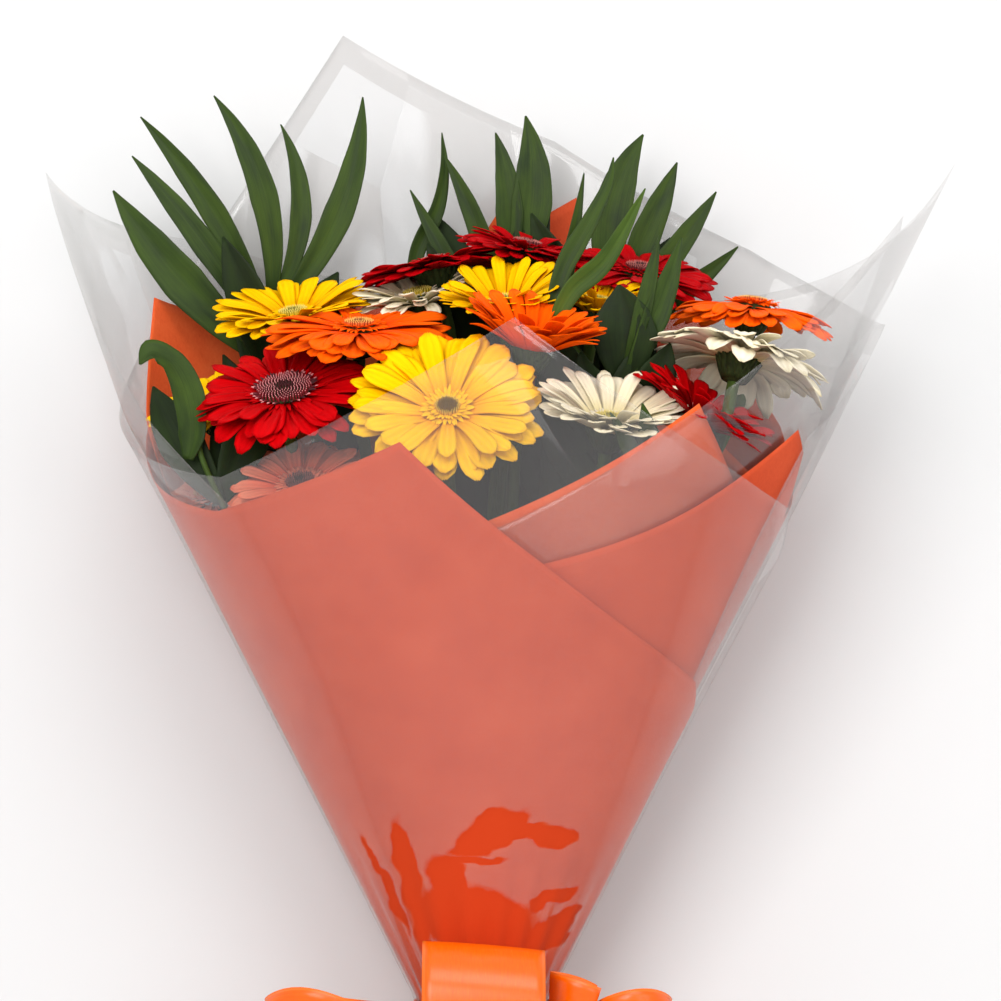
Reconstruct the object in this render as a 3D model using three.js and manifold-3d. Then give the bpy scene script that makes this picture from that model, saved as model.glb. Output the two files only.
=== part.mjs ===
// A hand-tied gerbera bouquet lying on its back: gerberas and palm fronds, wrapped in two sets of
// coloured paper and clear film, tied at the neck and finished with a satin ribbon bow.
//
// Everything is modelled in the bouquet's own axes: the origin is the middle of the neck, +Y runs up the
// stems towards the flowers, +X is to the right as seen from the front, and +Z points out of the front.
// The bouquet group is then tipped so that its back lies on the plane Z = 0. Lengths are millimetres.
import * as THREE from "three";
import { mergeVertices } from "three/addons/utils/BufferGeometryUtils.js";
import Module from "manifold-3d";

const wasm = await Module();
wasm.setup();

// ---------------------------------------------------------------- driving dimensions
const TILT = THREE.MathUtils.degToRad(9); // how far the stems slope up from the table
const NECK_HEIGHT = 58; // middle of the neck above the table
const NECK_RADIUS = 29; // outside of the gathered wrapping at the neck
const GATHER = 10; // the wrapping is this radius for so far above and below the neck's middle
const TAIL_LENGTH = 128; // wrapping below the neck
const REST_START = 200; // distance above the neck where the back meets the table
const RIM = 270; // distance above the neck where the wrapping stops widening so fast
const WIDTH_SLOPE = 0.523; // half width gained per millimetre up to the rim
const WING_SLOPE = 0.42; // the same above the rim
const LEAN = 0.11; // how far the wrapping leans to the right above the rim, per millimetre
const FRONT_SLOPE = 0.3; // depth in front of the axis gained per millimetre
const TAIL_SLOPE = 0.36; // flare of the wrapping below the neck
const SHEET = 0.6; // thickness of a modelled sheet
const LAYER = 1.15; // distance from one sheet to the next at the neck
const LOOSENING = 0.004; // what that distance gains per millimetre up from the neck
const GAP = 0.4; // air left round a piece that another is cut to clear
const PETALS = 12; // lobes round a flower head
const STEM_RADIUS = 3;
const STEM_PITCH = 7.2; // distance between stems where they are tied
const STEMS_RADIUS = 20.2; // round the tied stems and leaf stalks
const BAND_WIDTH = 50; // satin ribbon
const RIBBON = 1; // thickness of a modelled ribbon

const FINISH = {
  yellow: { color: 0xffc800, roughness: 0.55 },
  red: { color: 0xc00810, roughness: 0.5 },
  dark_red: { color: 0x8e0410, roughness: 0.5 },
  orange: { color: 0xff5a08, roughness: 0.5 },
  cream: { color: 0xf2ead0, roughness: 0.6 },
  stem: { color: 0x5d7a35, roughness: 0.6 },
  leaf: { color: 0x2f4d14, roughness: 0.45 },
  paper: { color: 0xd9623f, roughness: 0.8 },
  film: { color: 0xf4f4f4, roughness: 0.1, transparent: true, opacity: 0.3 },
  ribbon: { color: 0xff6a08, roughness: 0.3 },
  twine: { color: 0xb59a68, roughness: 0.9 },
};

// ---------------------------------------------------------------- solids
const rad = THREE.MathUtils.degToRad;
const v3 = (x, y, z) => new THREE.Vector3(x, y, z);

// A closed geometry as a solid that can be joined and cut.
function solidOf(geometry) {
  const bare = geometry.index ? geometry.toNonIndexed() : geometry.clone();
  bare.deleteAttribute("normal");
  bare.deleteAttribute("uv");
  const merged = mergeVertices(bare, 1e-3);
  return new wasm.Manifold(
    new wasm.Mesh({
      numProp: 3,
      vertProperties: merged.attributes.position.array,
      triVerts: new Uint32Array(merged.index.array),
    }),
  );
}

// A solid as a geometry for a mesh.
function geometryOf(solid) {
  const mesh = solid.getMesh();
  const position = new Float32Array(mesh.numVert * 3);
  for (let i = 0; i < mesh.numVert; i++) {
    position.set(mesh.vertProperties.subarray(i * mesh.numProp, i * mesh.numProp + 3), i * 3);
  }
  const geometry = new THREE.BufferGeometry();
  geometry.setAttribute("position", new THREE.BufferAttribute(position, 3));
  geometry.setIndex(new THREE.BufferAttribute(mesh.triVerts, 1));
  return geometry;
}

// The closed surface through rings of equally many points. It is capped at both ends, across from one half
// of the ring to the other, or runs round to meet itself. Each half of the ring is split along the diagonals
// that match the other's, so that the two sides of a thin wall stay parallel where it twists.
function loft(rings, meets = false) {
  const count = rings[0].length;
  const total = rings.length * count;
  const position = rings.flat().flatMap((p) => [p.x, p.y, p.z]);
  const index = [];
  for (let r = 0; r < rings.length - (meets ? 0 : 1); r++) {
    for (let i = 0; i < count; i++) {
      const a = r * count + i;
      const b = r * count + ((i + 1) % count);
      const [c, d] = [(b + count) % total, (a + count) % total];
      if (i < count / 2) index.push(a, b, d, b, c, d);
      else index.push(a, b, c, a, c, d);
    }
  }
  const last = total - count;
  for (let i = 0, j = count - 1; !meets && i + 1 < j; i++, j--) {
    index.push(i, j, i + 1, last + i, last + i + 1, last + j);
    if (j - 1 > i + 1) index.push(i + 1, j, j - 1, last + i + 1, last + j - 1, last + j);
  }
  const geometry = new THREE.BufferGeometry();
  geometry.setAttribute("position", new THREE.Float32BufferAttribute(position, 3));
  geometry.setIndex(index);
  return facingOut(geometry);
}

// The same geometry with its faces turned round if they point inwards.
function facingOut(geometry) {
  if (solidOf(geometry).volume() < 0) {
    const index = geometry.index.array;
    for (let i = 0; i < index.length; i += 3) {
      [index[i + 1], index[i + 2]] = [index[i + 2], index[i + 1]];
    }
  }
  return geometry;
}

// A round rod along a curve.
function rod(curve, radius, sides, steps) {
  const circle = new THREE.Shape(
    Array.from({ length: sides }, (_, i) => {
      const turn = (i / sides) * 2 * Math.PI;
      return new THREE.Vector2(radius * Math.cos(turn), radius * Math.sin(turn));
    }),
  );
  return new THREE.ExtrudeGeometry(circle, { steps, extrudePath: curve });
}

const largest = (solid) =>
  solid.decompose().reduce((best, piece) => (piece.volume() > best.volume() ? piece : best));

const boxesMeet = (a, b) =>
  [0, 1, 2].every((i) => a.min[i] < b.max[i] && b.min[i] < a.max[i]);

// ---------------------------------------------------------------- the pieces placed so far
const bouquet = new THREE.Group();
bouquet.rotation.x = TILT;
const placed = []; // { name, solid, shell }: the shell is the piece grown by GAP

// Adds a piece made by build(grow), cut clear of every piece placed before it.
function place(name, finish, build) {
  let solid = build(0);
  for (const other of placed) {
    if (boxesMeet(solid.boundingBox(), other.shell.boundingBox())) {
      const cut = solid.subtract(other.shell);
      if (cut.volume() < solid.volume() - 0.001) solid = largest(cut);
    }
  }
  const mesh = new THREE.Mesh(geometryOf(solid), new THREE.MeshStandardMaterial(FINISH[finish]));
  mesh.name = name;
  bouquet.add(mesh);
  placed.push({ name, shell: build(GAP) });
}

// ---------------------------------------------------------------- the wrapping's form
// The table's plane in bouquet axes: its z at height y up the stems.
const tableAt = (y) => -(NECK_HEIGHT + y * Math.sin(TILT)) / Math.cos(TILT);

// How far a height is above the gathered neck, or below it as a negative.
const beyondNeck = (y) => Math.sign(y) * Math.max(0, Math.abs(y) - GATHER);

function halfWidth(y) {
  const up = beyondNeck(y);
  if (up < 0) return NECK_RADIUS - TAIL_SLOPE * up;
  return NECK_RADIUS + WIDTH_SLOPE * Math.min(up, RIM - GATHER) + WING_SLOPE * Math.max(0, y - RIM);
}

const frontDepth = (y) => NECK_RADIUS + (y < 0 ? -TAIL_SLOPE * 0.5 : FRONT_SLOPE) * beyondNeck(y);

// How much of the way the back has come from the neck to the table at a height.
function lying(y) {
  const end = y < 0 ? -TAIL_LENGTH : REST_START;
  return Math.min(1, beyondNeck(y) / beyondNeck(end));
}

// Depth behind the axis: from the neck the back slopes down to the table, and then lies flat on it.
function backDepth(y) {
  const end = y < 0 ? -TAIL_LENGTH : REST_START;
  const share = lying(y);
  return share === 1 ? -tableAt(y) : THREE.MathUtils.lerp(NECK_RADIUS, -tableAt(end), share);
}

const FACET = 15; // degrees between the corners of the wrapping's cross-section
const FLATNESS = 1.25; // over 1, so that the back is cut off flat where it lies

function corner(turn, y, inset) {
  const across = Math.cos(rad(turn));
  const out = Math.sin(rad(turn));
  const x = (halfWidth(y) - inset) * across + LEAN * Math.max(0, y - RIM);
  if (out >= -1e-9) return v3(x, y, (frontDepth(y) - inset) * out);
  const flat = Math.min(1, FLATNESS * Math.pow(-out, 0.8));
  return v3(x, y, -(backDepth(y) - inset) * THREE.MathUtils.lerp(-out, flat, lying(y)));
}

// A point of the wrapping at an angle round the stems: 0 right, 90 front, 180 left, 270 back.
function wrapPoint(turn, y, inset) {
  const low = Math.floor(turn / FACET) * FACET;
  return corner(low, y, inset).lerp(corner(low + FACET, y, inset), (turn - low) / FACET);
}

// Height of a sheet's cut edge at an angle: straight lines of the flat sheet between its corners.
const ROWS = [-90, -GATHER, GATHER, 75, 140, REST_START, RIM, 325];
const UNROLL = 0.45; // degrees of flat sheet to each degree round the stems
function edgeHeight(corners, turn) {
  const next = corners.findIndex(([angle]) => angle <= turn);
  if (next <= 0) return corners[0][1];
  const [a, ya] = corners[next - 1];
  const [b, yb] = corners[next];
  const whole = Math.sin(rad((a - b) * UNROLL));
  const fromA = Math.sin(rad((a - turn) * UNROLL));
  const toB = Math.sin(rad((turn - b) * UNROLL));
  return (ya * yb * whole) / (ya * fromA + yb * toB);
}

// A sheet wound round the stems from its first corner's angle down to its last's. Its start lies deeper
// across the front, where the other side of the wrapping folds over it.
function sheetSolid({ corners, layer, tail }, grow) {
  const first = corners[0][0];
  const last = corners.at(-1)[0];
  const turns = [first, last, ...corners.map(([angle]) => angle)];
  for (let turn = Math.ceil(last / FACET) * FACET; turn < first; turn += FACET) turns.push(turn);
  const columns = [...new Set(turns)].sort((a, b) => b - a);
  const rings = columns.map((turn) => {
    const top = edgeHeight(corners, turn) + grow;
    const rows = ROWS.map((y, i) => Math.min(y, top - 3 * (ROWS.length - i)));
    const heights = [-tail - grow, ...rows, top];
    const layers = layer + 2 * THREE.MathUtils.clamp((turn + 45) / 30, 0, 1);
    const depth = (y) => layers * (LAYER + LOOSENING * Math.max(0, y));
    const outside = heights.map((y) => wrapPoint(turn, y, depth(y) - grow));
    const inside = heights.map((y) => wrapPoint(turn, y, depth(y) + SHEET + grow));
    return [...outside, ...inside.reverse()];
  });
  return solidOf(loft(rings));
}

// Corners as [angle round the stems, height above the neck], wound from the covered front edge over the
// right side and the back (-90) to the left side (-180) and the front again (-270).
const SHEETS = {
  film_outer: {
    finish: "film",
    layer: 0,
    tail: TAIL_LENGTH,
    corners: [
      [20, 262], [0, 313], [-54, 352], [-85, 404], [-111, 455], [-180, 265], [-221, 244], [-273, 312],
      [-345, 230], [-372, 196],
    ],
  },
  paper_outer: {
    finish: "paper",
    layer: 1,
    tail: TAIL_LENGTH - 10,
    corners: [
      [78, 206], [24, 265], [16, 255], [4, 225], [-30, 268], [-69, 353], [-76, 330], [-81, 377],
      [-144, 300], [-180, 244], [-214, 229], [-257, 259], [-282, 206], [-340, 153], [-372, 130],
    ],
  },
  film_inner: {
    finish: "film",
    layer: 2,
    tail: TAIL_LENGTH - 4,
    corners: [
      [100, 210], [57, 267], [38, 307], [25, 359], [23, 352], [2, 385], [-90, 330], [-134, 356],
      [-179, 382], [-219, 229],
    ],
  },
  paper_inner: {
    finish: "paper",
    layer: 3,
    tail: TAIL_LENGTH - 16,
    corners: [
      [92, 222], [53, 276], [40, 249], [20, 222], [-45, 262], [-89, 384], [-100, 320], [-151, 328],
      [-178, 236], [-212, 222],
    ],
  },
};

// ---------------------------------------------------------------- flowers
// Each gerbera: name, colour, middle of the petals [x, y, z], lean towards the front and to the right
// in degrees from straight up, radius, rise of the petal tips (negative for drooping), place among the
// tied stems [column, row].
const FLOWERS = [
  ["yellow_front", "yellow", [-15, 273, 60], 47, 0, 44, 9, [0, 2]],
  ["red_left", "red", [-87, 281, 36], 31, -8, 41, 4, [-1, 1]],
  ["orange_low_left", "orange", [-80, 240, 36], 36, -10, 32, 4, [-1, 2]],
  ["orange_left", "orange", [-55, 310, 12], 15, 0, 44, 2, [-1, 0]],
  ["yellow_back_left", "yellow", [-86, 317, -36], 18, -8, 36, 8, [-2, -1]],
  ["cream_back_left", "cream", [-28, 325, -40], -8, -10, 27, 8, [-1, -1]],
  ["dark_red_back_left", "dark_red", [-22, 341, -48], -2, -12, 35, 3, [-1, -2]],
  ["dark_red_back_middle", "dark_red", [20, 349, -50], 8, 12, 30, 4, [0, -2]],
  ["yellow_middle", "yellow", [10, 321, -6], 22, -4, 26, 12, [0, 0]],
  ["orange_middle", "orange", [22, 302, 36], 12, 10, 31, 17, [0, 1]],
  ["yellow_right", "yellow", [52, 321, -12], 14, 10, 21, 10, [1, 0]],
  ["dark_red_back_right", "dark_red", [72, 338, -48], 18, 8, 36, 3, [1, -2]],
  ["orange_right", "orange", [122, 321, -12], 2, 6, 37, -3, [1, -1]],
  ["cream_right", "cream", [115, 298, 20], -14, 14, 38, 4, [2, 0]],
  ["cream_front", "cream", [56, 267, 57], 20, 8, 33, 14, [1, 2]],
  ["red_right", "red", [95, 270, 44], 6, 30, 27, 10, [1, 1]],
  ["yellow_low_left", "yellow", [-122, 276, -8], 20, -20, 30, 5, [-2, 0]],
  ["orange_far_left", "orange", [-122, 236, 4], 30, -24, 18, 5, [-2, 1]],
];

const CUP_DEPTH = 13; // from the petals down to the top of the stem

// A flower's own axes: +Y along its face, with its origin at the middle of the petals.
function flowerFrame([, , at, toFront, toRight]) {
  const turn = new THREE.Euler(rad(toFront), 0, -rad(toRight), "ZXY");
  return new THREE.Matrix4().makeRotationFromEuler(turn).setPosition(...at);
}

function headSolid(flower, grow) {
  const [, , , , , radius, rise] = flower;
  const lobes = 2 * PETALS;
  const ring = (r, y, notch) =>
    Array.from({ length: lobes }, (_, i) => {
      const turn = (i / lobes) * 2 * Math.PI;
      const reach = r * (i % 2 ? notch : 1);
      return v3(reach * Math.cos(turn), y, reach * Math.sin(turn));
    });
  const rings = [
    ring(3.4 + grow, -CUP_DEPTH - grow, 1),
    ring(10 + grow, -3 - grow, 1),
    ring(radius + grow, rise - 0.9 - grow, 0.86),
    ring(radius + grow, rise + 0.7 + 2 * grow, 0.86),
    ring(12, 1.8 + 1.5 * grow, 1),
    ring(4, 3.6 + grow, 1),
  ];
  return solidOf(loft(rings).applyMatrix4(flowerFrame(flower)));
}

const STEM_END = -150; // cut ends below the neck

// From under the petals, back along the flower's lean, through the tie and on to the cut end.
function stemCurve(flower) {
  const [column, row] = flower[7];
  const frame = flowerFrame(flower);
  const across = STEM_PITCH * (column + (row % 2 ? 0.5 : 0));
  const out = STEM_PITCH * 0.87 * row;
  const cut = STEM_END + 4 * ((column + 2 * row + 9) % 4);
  return new THREE.CatmullRomCurve3(
    [
      v3(0, -CUP_DEPTH - GAP, 0).applyMatrix4(frame),
      v3(0, -CUP_DEPTH - 26, 0).applyMatrix4(frame),
      v3(across * 3, 120, out * 2.4),
      v3(across, 0, out),
      v3(across * 1.5, cut, out * 1.3),
    ],
    false,
    "centripetal",
  );
}

const stemSolid = (flower, grow) => solidOf(rod(stemCurve(flower), STEM_RADIUS + grow, 6, 8));

// ---------------------------------------------------------------- leaves
// A blade from its base to its tip, bowed sideways at its middle, of a lens-shaped section.
function bladeSolid([base, tip, bow, width], grow) {
  const from = v3(...base);
  const to = v3(...tip);
  const along = to.clone().sub(from).normalize();
  const side = v3(along.y, -along.x, 0).normalize();
  const middle = from.clone().lerp(to, 0.5).addScaledVector(side, bow * 2);
  const curve = new THREE.QuadraticBezierCurve3(from, middle, to);
  const shares = [[0, 0.35], [0.2, 0.85], [0.45, 1], [0.75, 0.62], [0.93, 0.24], [1, 0.06]];
  const rings = shares.map(([t, share]) => {
    const at = curve.getPoint(t);
    const tangent = curve.getTangent(t);
    const edge = v3(tangent.y, -tangent.x, 0).normalize();
    const face = tangent.clone().cross(edge).normalize();
    const half = (width / 2) * share + grow;
    const thick = 0.7 + grow;
    return [
      at.clone().addScaledVector(edge, half),
      at.clone().addScaledVector(face, thick),
      at.clone().addScaledVector(edge, -half),
      at.clone().addScaledVector(face, -thick),
    ];
  });
  return solidOf(loft(rings));
}

// A frond: a stalk from below the neck through its points, with blades that start on the stalk.
function frondSolid({ stalk, blades }, grow) {
  const curve = new THREE.CatmullRomCurve3(stalk.map((p) => v3(...p)));
  let solid = solidOf(rod(curve, 1.7 + grow, 6, 8));
  for (const blade of blades) solid = solid.add(bladeSolid(blade, grow));
  return largest(solid);
}

// Blades as [base, tip, sideways bow, width].
const FRONDS = {
  palm_frond_left: {
    stalk: [[-18, -140, -14], [-15.2, 0, -8.8], [-46, 130, -48], [-99, 300, -76], [-99, 326, -78]],
    blades: [
      [[-99, 297, -76], [-172, 378, -78], -4, 21],
      [[-99, 306, -76], [-163, 394, -76], 3, 14],
      [[-99, 314, -77], [-159, 412, -74], 6, 14],
      [[-99, 322, -78], [-125, 422, -76], 11, 15],
      [[-99, 322, -78], [-94, 409, -80], 12, 12],
      [[-99, 318, -77], [-56, 422, -84], 11, 16],
    ],
  },
  palm_frond_middle: {
    stalk: [[0, -140, -20], [0, 0, -17.6], [4, 130, -56], [8, 280, -90], [10, 340, -92]],
    blades: [
      [[8, 300, -91], [-34, 379, -90], 0, 9],
      [[8, 310, -91], [-19, 406, -92], -5, 7],
      [[9, 315, -92], [-18, 395, -88], 4, 10],
      [[9, 330, -92], [6, 406, -92], 5, 13],
      [[10, 332, -92], [20, 414, -94], 8, 19],
    ],
  },
  palm_frond_right: {
    stalk: [[18, -140, -14], [15.2, 0, -8.8], [32, 130, -54], [58, 280, -86], [62, 330, -88]],
    blades: [
      [[61, 324, -88], [75, 405, -90], -8, 19],
      [[61, 322, -88], [91, 392, -91], 0, 14],
      [[61, 316, -88], [109, 378, -86], 2, 12],
      [[60, 308, -87], [119, 352, -80], 2, 10],
    ],
  },
  palm_frond_front: {
    stalk: [[18, -140, 12], [15.2, 0, 8.8], [36, 130, 24], [60, 270, 16], [64, 296, 15]],
    blades: [
      [[62, 286, 15.5], [61, 330, 20], 2, 30],
      [[62, 284, 15.5], [72, 372, 20], -16, 10],
      [[62, 284, 15.5], [59, 388, 4], -18, 9],
      [[62, 284, 15.5], [46, 381, 4], -14, 7],
      [[63, 288, 15.5], [79, 352, 24], 1, 8],
      [[63, 284, 15.5], [89, 351, 22], 2, 12],
    ],
  },
};

const LEAVES = {
  curled_leaf_left: {
    stalk: [[-18, -138, 12], [-15.2, 0, 8.8], [-64, 130, 20], [-124, 252, 32], [-126, 262, 32]],
    blades: [
      [[-125, 250, 32], [-136, 300, 32], 2, 20],
      [[-134, 292, 32], [-150, 300, 34], 0, 14],
    ],
  },
  pointed_leaf_front: {
    stalk: [[2, -138, 20], [0, 0, 17.6], [32, 130, 42], [76, 232, 60], [77, 240, 61]],
    blades: [
      [[76.5, 232, 60], [74, 264, 67], 1, 12],
      [[76, 230, 60], [62, 260, 72], 1, 9],
    ],
  },
};

// ---------------------------------------------------------------- ties and bow
const ring = (outer, inner, width) => {
  const profile = [
    new THREE.Vector2(inner, -width / 2),
    new THREE.Vector2(outer, -width / 2),
    new THREE.Vector2(outer, width / 2),
    new THREE.Vector2(inner, width / 2),
    new THREE.Vector2(inner, -width / 2),
  ];
  return new THREE.LatheGeometry(profile, 24);
};

// A ribbon along a path, with its width across it. A loop's path comes back to its start.
function ribbonSolid({ path, closed, across, width }, grow) {
  const curve = new THREE.CatmullRomCurve3(path.map((p) => v3(...p)), closed);
  const steps = closed ? 20 : 10;
  const rings = Array.from({ length: closed ? steps : steps + 1 }, (_, i) => {
    const at = curve.getPoint(i / steps);
    const tangent = curve.getTangent(i / steps);
    const normal = tangent.clone().cross(v3(...across)).normalize();
    const edge = normal.clone().cross(tangent).multiplyScalar(width / 2 + grow);
    const out = normal.multiplyScalar(RIBBON / 2 + grow);
    return [
      at.clone().add(edge).add(out),
      at.clone().sub(edge).add(out),
      at.clone().sub(edge).sub(out),
      at.clone().add(edge).sub(out),
    ];
  });
  return solidOf(loft(rings, closed));
}

// Paths as points [x, y, z].
const BOW = {
  bow_centre_loop: {
    path: [[1, 8, 31.5], [1, 33, 41], [1, 38, 57], [1, 21, 73], [1, -8, 72], [1, -26, 52], [1, -20, 34]],
    closed: true, across: [1, -0.08, 0], width: 54,
  },
  bow_loop_left: {
    path: [
      [-28, -14, 44], [-50, -13, 60], [-66, -8, 66], [-80, -4, 65], [-93, -11, 52], [-80, -10, 38],
      [-50, -13, 36],
    ],
    closed: true, across: [0.12, 1, 0], width: BAND_WIDTH,
  },
  bow_loop_right: {
    path: [[54, -14, 45], [60, -9, 58], [71, -5, 61], [82, -11, 50], [74, -9, 37], [60, -14, 36]],
    closed: true, across: [-0.12, 1, 0], width: BAND_WIDTH,
  },
  bow_loop_small: {
    path: [[30, 5, 44], [36, 4, 58], [46, 0, 60], [51, -2, 48], [46, -1, 38], [36, 3, 37]],
    closed: true, across: [0, 1, 0], width: 42,
  },
  bow_tail_left: {
    path: [[-22, -29, 38], [-27, -56, 44], [-36, -92, 51], [-44, -130, 58]],
    closed: false, across: [1, -0.22, 0], width: 38,
  },
  bow_tail_right: {
    path: [[22, -29, 38], [25, -56, 45], [33, -90, 50], [42, -124, 59]],
    closed: false, across: [1, 0.2, 0], width: 38,
  },
};

// ---------------------------------------------------------------- assembly
place("binding_twine", "twine", (grow) =>
  solidOf(ring(STEMS_RADIUS + 1.4 + grow, STEMS_RADIUS + 0.2 - grow, 12 + 2 * grow)),
);
place("ribbon_band", "ribbon", (grow) =>
  solidOf(ring(NECK_RADIUS + 1.6 + grow, NECK_RADIUS + 0.5 - grow, 1.8 * GATHER + 2 * grow)),
);
for (const [name, sheet] of Object.entries(SHEETS)) {
  place(name, sheet.finish, (grow) => sheetSolid(sheet, grow));
}
for (const flower of FLOWERS) {
  place(`stem_${flower[0]}`, "stem", (grow) => stemSolid(flower, grow));
}
for (const flower of FLOWERS) {
  place(`gerbera_${flower[0]}`, flower[1], (grow) => headSolid(flower, grow));
}
for (const [name, frond] of Object.entries({ ...FRONDS, ...LEAVES })) {
  place(name, "leaf", (grow) => frondSolid(frond, grow));
}
for (const [name, ribbon] of Object.entries(BOW)) {
  place(name, "ribbon", (grow) => ribbonSolid(ribbon, grow));
}

// The whole lies on Z = 0 with the middle of its box on the Z axis.
const group = new THREE.Group();
group.add(bouquet);
const box = new THREE.Box3().setFromObject(group, true);
bouquet.position.set(-(box.min.x + box.max.x) / 2, -(box.min.y + box.max.y) / 2, -box.min.z);

export default group;
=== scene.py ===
"""A gerbera bouquet lying on its back, in paper and clear film, with a satin bow.

Everything is built in the bouquet's own axes, in millimetres: the origin is the middle of
the neck, +Y runs up the stems, +X is to the right as seen from the front, +Z points out of
the front. place() takes that to the row's frame, in metres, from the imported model.
"""
import math

import bpy
import numpy as np
from mathutils import Euler, Matrix, Vector


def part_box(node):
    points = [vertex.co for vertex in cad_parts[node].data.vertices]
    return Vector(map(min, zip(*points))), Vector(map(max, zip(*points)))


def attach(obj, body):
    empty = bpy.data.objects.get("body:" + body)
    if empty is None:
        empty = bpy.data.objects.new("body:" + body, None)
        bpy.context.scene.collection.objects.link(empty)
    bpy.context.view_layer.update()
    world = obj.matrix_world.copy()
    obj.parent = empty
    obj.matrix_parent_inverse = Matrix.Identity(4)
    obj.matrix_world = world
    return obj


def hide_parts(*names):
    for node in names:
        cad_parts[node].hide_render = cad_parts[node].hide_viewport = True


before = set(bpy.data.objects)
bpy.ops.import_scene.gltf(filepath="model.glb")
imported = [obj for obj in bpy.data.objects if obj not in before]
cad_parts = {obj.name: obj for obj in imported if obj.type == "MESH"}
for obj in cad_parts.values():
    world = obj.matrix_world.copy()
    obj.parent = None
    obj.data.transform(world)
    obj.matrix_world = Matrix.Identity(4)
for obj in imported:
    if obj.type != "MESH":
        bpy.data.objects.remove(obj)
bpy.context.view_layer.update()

TILT = math.radians(9)  # the stems' slope up from the table
NECK_HEIGHT = 58.0
NECK_RADIUS = 29.0
GATHER = 10.0
TAIL = 128.0
REST_START = 200.0
RIM = 270.0
WIDTH_SLOPE = 0.523
WING_SLOPE = 0.42
LEAN = 0.11  # how far the wrapping leans to the right above the rim
FRONT_SLOPE = 0.3
TAIL_SLOPE = 0.36
MM = 0.001

rng = np.random.default_rng(20)

low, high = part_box("binding_twine")
NECK = np.array((low + high) / 2)
TO_ROW = np.array(
    [
        [1, 0, 0],
        [0, math.cos(TILT), -math.sin(TILT)],
        [0, math.sin(TILT), math.cos(TILT)],
    ]
)


def place(points):
    """Bouquet millimetres to row metres."""
    return np.asarray(points, float).reshape(-1, 3) @ TO_ROW.T * MM + NECK


# ---------------------------------------------------------------- camera, light and floor
VIEW_WIDTH = 450.5  # what the frame spans at the stems' depth
VIEW_CENTRE = (8.3, 233.8, 0.0)
VIEW_DISTANCE = 2300.0

camera = bpy.data.objects.new("camera", bpy.data.cameras.new("camera"))
camera.data.sensor_width = 36.0
camera.data.lens = 36.0 * VIEW_DISTANCE / VIEW_WIDTH
camera.data.clip_start = 0.05
camera.data.clip_end = 20.0
camera.location = place([VIEW_CENTRE[0], VIEW_CENTRE[1], VIEW_DISTANCE])[0]
camera.rotation_euler = (TILT, 0, 0)
bpy.context.scene.collection.objects.link(camera)
bpy.context.scene.camera = camera
bpy.context.scene.view_settings.view_transform = "Standard"
bpy.context.scene.cycles.transparent_max_bounces = 20
bpy.context.scene.cycles.max_bounces = 5
bpy.context.scene.cycles.diffuse_bounces = 2
bpy.context.scene.cycles.glossy_bounces = 2
bpy.context.scene.cycles.adaptive_threshold = 0.04


def area_light(name, at, size, power, target=(0, 200, 0)):
    """A soft square lamp at a bouquet point, facing another."""
    lamp = bpy.data.lights.new(name, "AREA")
    lamp.shape = "RECTANGLE"
    lamp.size, lamp.size_y = size
    lamp.energy = power
    holder = bpy.data.objects.new(name, lamp)
    start, end = Vector(place(at)[0]), Vector(place(target)[0])
    holder.location = start
    holder.rotation_euler = (end - start).to_track_quat("-Z", "Y").to_euler()
    bpy.context.scene.collection.objects.link(holder)


area_light("key_light", (-700, 1000, 2100), (1.3, 1.3), 28)
area_light("top_light", (300, 2000, 1500), (1.6, 0.8), 16)
area_light("fill_light", (1300, 500, 1700), (1.0, 1.6), 9)

world = bpy.data.worlds.new("studio")
bpy.context.scene.world = world
world.use_nodes = True
world.node_tree.nodes["Background"].inputs["Color"].default_value = (1, 1, 1, 1)
world.node_tree.nodes["Background"].inputs["Strength"].default_value = 0.7


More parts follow.
